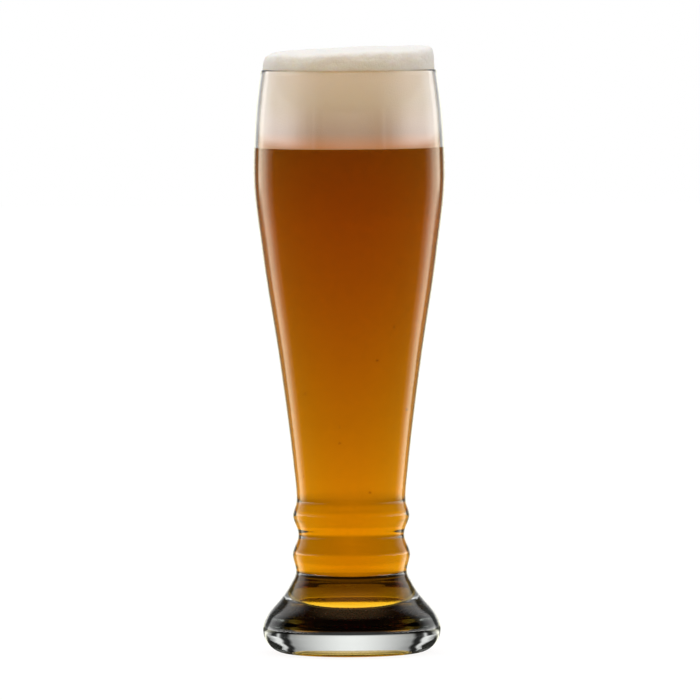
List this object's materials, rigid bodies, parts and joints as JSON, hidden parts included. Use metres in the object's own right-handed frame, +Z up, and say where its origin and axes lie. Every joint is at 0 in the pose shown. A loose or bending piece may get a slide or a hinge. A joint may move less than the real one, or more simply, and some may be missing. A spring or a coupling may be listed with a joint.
{
  "type": "weizen glass",
  "caption": "Tall tapered wheat beer glass with a wide mouth, grip rings and a solid flared foot, poured with amber beer under a head of foam.",
  "frame": {"origin": "centre of the resting face under the foot, on the table", "axes": "+Z up along the glass's axis; the glass is a solid of revolution, and the foam's crown leans up towards +X and +Y"},
  "size_m": [0.0826, 0.0826, 0.2621],
  "materials": {
    "clear_glass": "clear polished soda-lime glass",
    "amber_beer": "clear amber liquid",
    "beer_foam": "matt cream foam of fine bubbles"
  },
  "bodies": {
    "root": {"glass": "clear_glass", "beer": "amber_beer", "foam_head": "beer_foam"}
  },
  "joints": []
}
